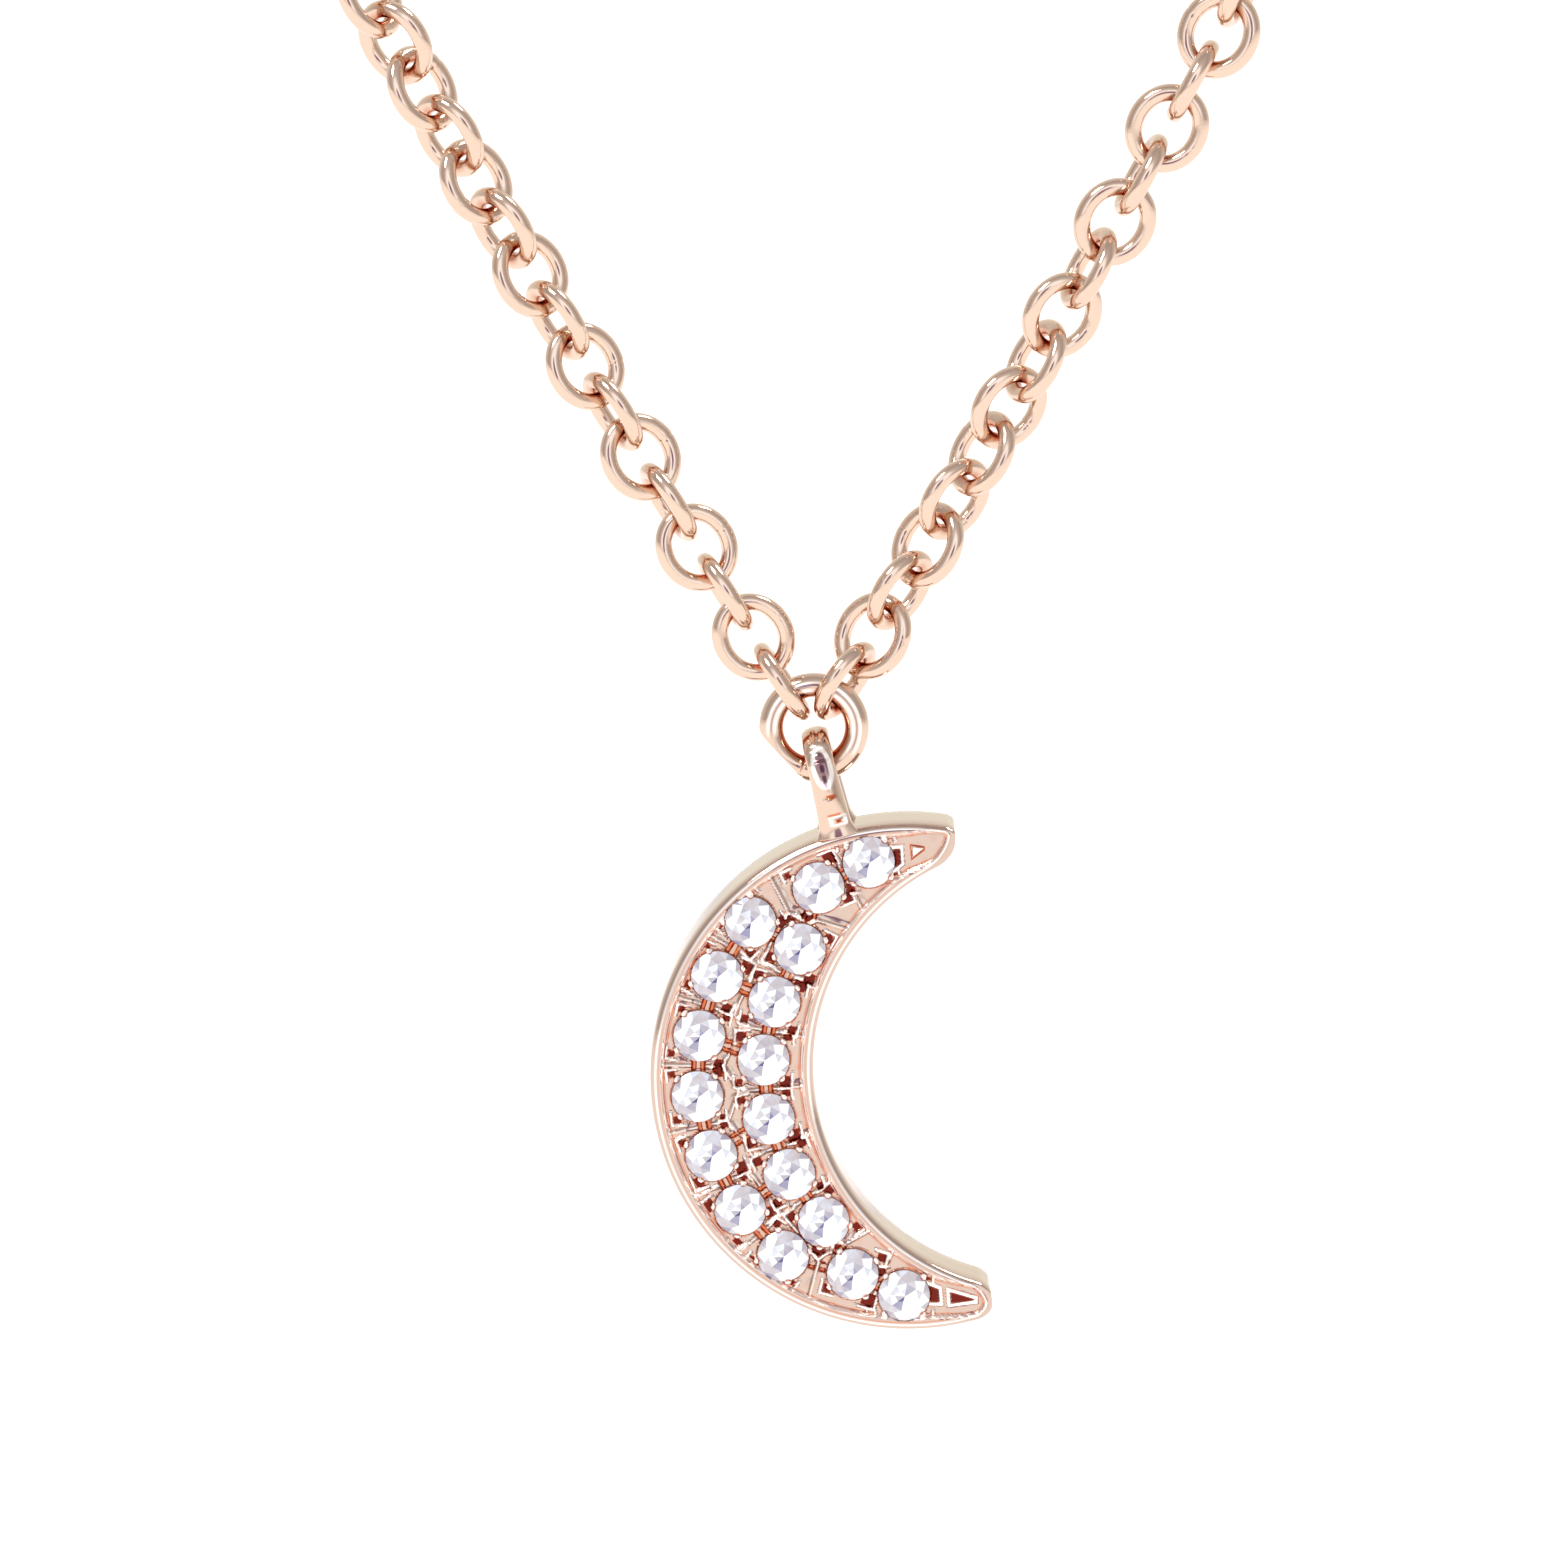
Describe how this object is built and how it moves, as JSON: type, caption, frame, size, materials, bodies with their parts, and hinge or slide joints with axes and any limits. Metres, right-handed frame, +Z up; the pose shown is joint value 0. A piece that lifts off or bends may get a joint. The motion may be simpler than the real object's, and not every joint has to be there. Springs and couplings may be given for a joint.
{
  "type": "pendant necklace",
  "caption": "Cable chain necklace with a gem-set crescent pendant hung by a bail from a jump ring, closed at the nape by a lobster clasp.",
  "frame": {"origin": "the middle of the clasp line at the nape, where the necklace rests on the neck that wears it", "axes": "+Z up along the hanging necklace, +X towards the wearer's left as seen from the front, -Y out of the pendant's face"},
  "size_m": [0.0948, 0.0028, 0.1763],
  "materials": {
    "rose_gold": "polished",
    "diamond": "brilliant cut",
    "spring_steel": "ground"
  },
  "bodies": {
    "neck": {"left_neck_strand": "rose_gold", "right_neck_strand": "rose_gold"},
    "strands_6": {"left_strand_6": "rose_gold", "right_strand_6": "rose_gold"},
    "strands_5": {"left_strand_5": "rose_gold", "right_strand_5": "rose_gold"},
    "strands_4": {"left_strand_4": "rose_gold", "right_strand_4": "rose_gold"},
    "strands_3": {"left_strand_3": "rose_gold", "right_strand_3": "rose_gold"},
    "strands_2": {"left_strand_2": "rose_gold", "right_strand_2": "rose_gold"},
    "strands_1": {"left_strand_1": "rose_gold", "right_strand_1": "rose_gold"},
    "links_9": {"left_link_09": "rose_gold", "right_link_09": "rose_gold"},
    "links_8": {"left_link_08": "rose_gold", "right_link_08": "rose_gold"},
    "links_7": {"left_link_07": "rose_gold", "right_link_07": "rose_gold"},
    "links_6": {"left_link_06": "rose_gold", "right_link_06": "rose_gold"},
    "links_5": {"left_link_05": "rose_gold", "right_link_05": "rose_gold"},
    "links_4": {"left_link_04": "rose_gold", "right_link_04": "rose_gold"},
    "links_3": {"left_link_03": "rose_gold", "right_link_03": "rose_gold"},
    "links_2": {"left_link_02": "rose_gold", "right_link_02": "rose_gold"},
    "links_1": {"left_link_01": "rose_gold", "right_link_01": "rose_gold"},
    "jump_ring": {"jump_ring": "rose_gold"},
    "pendant": {"crescent_plate": "rose_gold", "bail": "rose_gold", "diamond_01": "diamond", "diamond_02": "diamond", "diamond_03": "diamond", "diamond_04": "diamond", "diamond_05": "diamond", "diamond_06": "diamond", "diamond_07": "diamond", "diamond_08": "diamond", "diamond_09": "diamond", "diamond_10": "diamond", "diamond_11": "diamond", "diamond_12": "diamond", "diamond_13": "diamond", "diamond_14": "diamond", "diamond_15": "diamond", "diamond_16": "diamond", "diamond_17": "diamond"},
    "clasp_ring": {"clasp_ring": "rose_gold"},
    "clasp": {"clasp_body": "rose_gold", "clasp_rivet": "rose_gold", "clasp_spring": "spring_steel"},
    "trigger": {"clasp_trigger": "rose_gold"},
    "end_ring": {"end_ring": "rose_gold"}
  },
  "joints": [
    {"name": "strands_6_swing", "type": "hinge", "parent": "neck", "child": "strands_6", "pos_m": [0.00054, 0, -0.05164], "axis": [0.9999, 0, 0.0105], "range_deg": [-35, 25]},
    {"name": "strands_5_swing", "type": "hinge", "parent": "strands_6", "child": "strands_5", "pos_m": [0.00074, 0, -0.07033], "axis": [-0.9999, 0, -0.0105], "range_deg": [-25, 30]},
    {"name": "strands_4_swing", "type": "hinge", "parent": "strands_5", "child": "strands_4", "pos_m": [0.00092, 0, -0.08781], "axis": [0.9999, 0, 0.0105], "range_deg": [-25, 35]},
    {"name": "strands_3_swing", "type": "hinge", "parent": "strands_4", "child": "strands_3", "pos_m": [0.0011, 0, -0.10532], "axis": [-0.9999, 0, -0.0105], "range_deg": [-30, 40]},
    {"name": "strands_2_swing", "type": "hinge", "parent": "strands_3", "child": "strands_2", "pos_m": [0.00128, 0, -0.12219], "axis": [0.9999, 0, 0.0105], "range_deg": [-35, 35]},
    {"name": "strands_1_swing", "type": "hinge", "parent": "strands_2", "child": "strands_1", "pos_m": [0.00146, 0, -0.13936], "axis": [-0.9999, 0, -0.0105], "range_deg": [-35, 40]},
    {"name": "links_9_swing", "type": "hinge", "parent": "strands_1", "child": "links_9", "pos_m": [0.00163, 0, -0.15547], "axis": [0.9999, 0, 0.0105], "range_deg": [-35, 25]},
    {"name": "links_8_swing", "type": "hinge", "parent": "links_9", "child": "links_8", "pos_m": [0.00164, 0, -0.15631], "axis": [-0.9999, 0, -0.0105], "range_deg": [-30, 30]},
    {"name": "links_7_swing", "type": "hinge", "parent": "links_8", "child": "links_7", "pos_m": [0.00165, 0, -0.15715], "axis": [0.9999, 0, 0.0105], "range_deg": [-35, 25]},
    {"name": "links_6_swing", "type": "hinge", "parent": "links_7", "child": "links_6", "pos_m": [0.00165, 0, -0.15799], "axis": [-0.9999, 0, -0.0105], "range_deg": [-30, 30]},
    {"name": "links_5_swing", "type": "hinge", "parent": "links_6", "child": "links_5", "pos_m": [0.00166, 0, -0.15883], "axis": [0.9999, 0, 0.0105], "range_deg": [-35, 25]},
    {"name": "links_4_swing", "type": "hinge", "parent": "links_5", "child": "links_4", "pos_m": [0.00167, 0, -0.15962], "axis": [-0.9999, 0, -0.0105], "range_deg": [-35, 30]},
    {"name": "links_3_swing", "type": "hinge", "parent": "links_4", "child": "links_3", "pos_m": [0.00168, 0, -0.16057], "axis": [0.9999, 0, 0.0105], "range_deg": [-40, 25]},
    {"name": "links_2_swing", "type": "hinge", "parent": "links_3", "child": "links_2", "pos_m": [0.00169, 0, -0.16128], "axis": [-0.9999, 0, -0.0105], "range_deg": [-35, 30]},
    {"name": "links_1_swing", "type": "hinge", "parent": "links_2", "child": "links_1", "pos_m": [0.0017, 0, -0.16227], "axis": [0.9999, 0, 0.0105], "range_deg": [-50, 25]},
    {"name": "ring_slide", "type": "hinge", "parent": "links_1", "child": "jump_ring", "pos_m": [0.00171, 0, -0.16341], "axis": [0, 1, 0], "range_deg": [-30, 45]},
    {"name": "pendant_swing", "type": "hinge", "parent": "jump_ring", "child": "pendant", "pos_m": [0.00187, 0, -0.16417], "axis": [-0.9781, 0, -0.2079], "range_deg": [-80, 80]},
    {"name": "clasp_ring_roll", "type": "hinge", "parent": "neck", "child": "clasp_ring", "pos_m": [0, 0, 0], "axis": [0.9999, 0, 0.0105], "range_deg": [-20, 20]},
    {"name": "clasp_roll", "type": "hinge", "parent": "clasp_ring", "child": "clasp", "pos_m": [0, 0, 0], "axis": [-0.9999, 0, -0.0105], "range_deg": [-20, 20]},
    {"name": "trigger_open", "type": "hinge", "parent": "clasp", "child": "trigger", "pos_m": [0.00059, 0, -0.00054], "axis": [0, -1, 0], "range_deg": [0, 14], "stiffness_Nm_per_rad": 0.0002, "springref_deg": -17.19},
    {"name": "end_ring_roll", "type": "hinge", "parent": "neck", "child": "end_ring", "pos_m": [0, 0, 0], "axis": [0.9999, 0, 0.0105], "range_deg": [-20, 20]}
  ]
}
